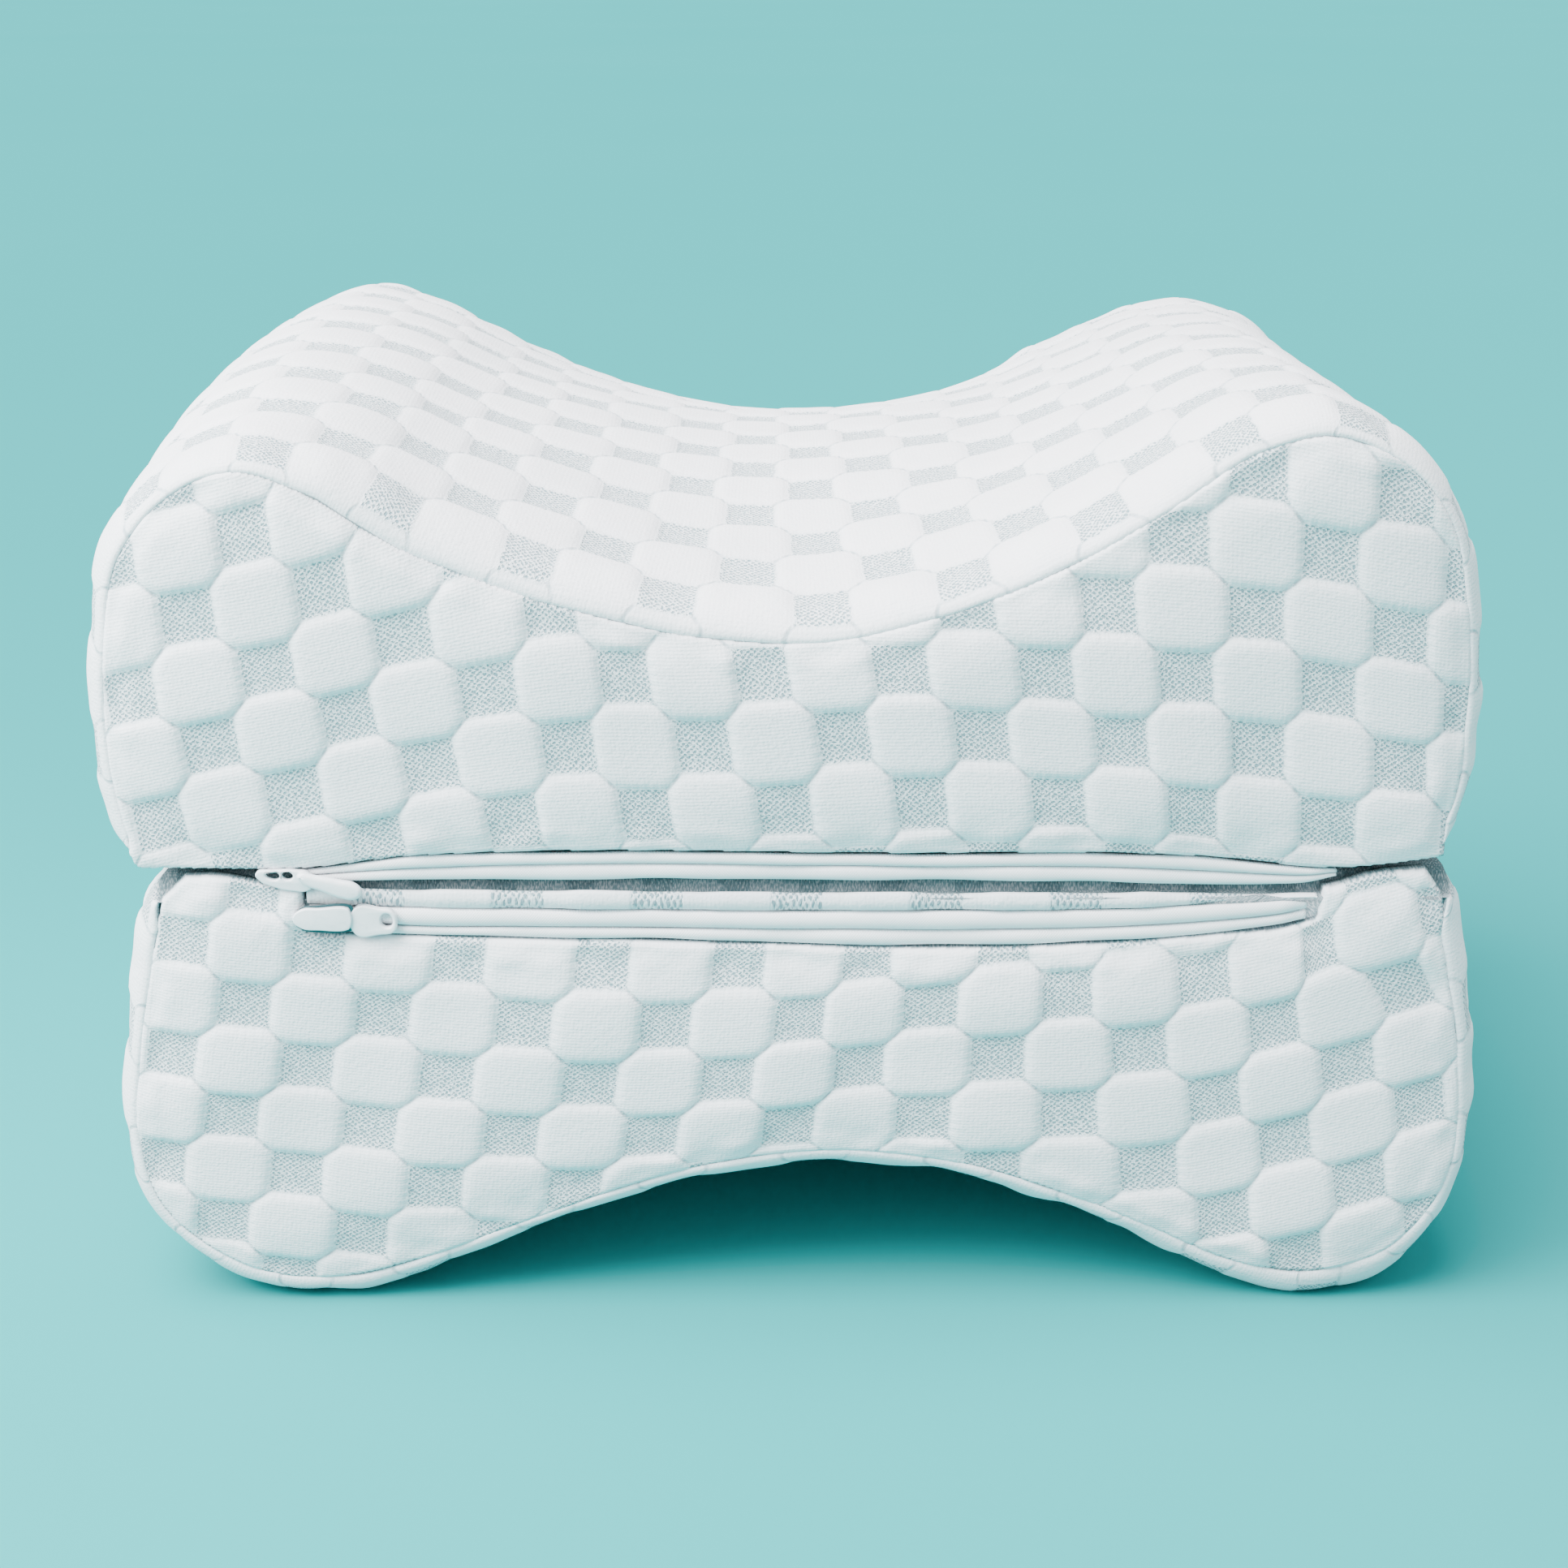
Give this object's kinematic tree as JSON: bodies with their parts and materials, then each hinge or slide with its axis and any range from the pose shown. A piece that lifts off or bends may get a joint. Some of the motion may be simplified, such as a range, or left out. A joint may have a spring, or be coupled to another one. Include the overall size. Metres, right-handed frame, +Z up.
{
  "type": "contoured knee pillow in a zipped knit cover",
  "caption": "Contoured leg pillow of stacked foam halves in quilted knit covers, with a saddle on top, an arch below, and a zip along each half's mating edge.",
  "frame": {"origin": "middle of the bounding box at the level of the soles", "axes": "+X across the width, to the right seen from the zipped front; +Y from the front to the back; +Z up"},
  "size_m": [0.2567, 0.2, 0.171],
  "materials": {
    "knit_cover": "white jacquard knit with raised octagons and flat birdseye squares",
    "zip_tape": "fine woven white tape",
    "zip_hardware": "white lacquered"
  },
  "bodies": {
    "root": {"upper_cushion": "knit_cover", "lower_cushion": "knit_cover", "upper_front_panel": "knit_cover", "lower_front_panel": "knit_cover", "upper_back_panel": "knit_cover", "lower_back_panel": "knit_cover", "lower_zip_facing": "knit_cover", "upper_zip_tape_top": "zip_tape", "upper_zip_tape_bottom": "zip_tape", "lower_zip_tape_top": "zip_tape", "lower_zip_tape_bottom": "zip_tape", "upper_zip_slider": "zip_hardware", "upper_zip_pull": "zip_hardware", "lower_zip_slider": "zip_hardware", "lower_zip_pull": "zip_hardware"}
  },
  "joints": []
}
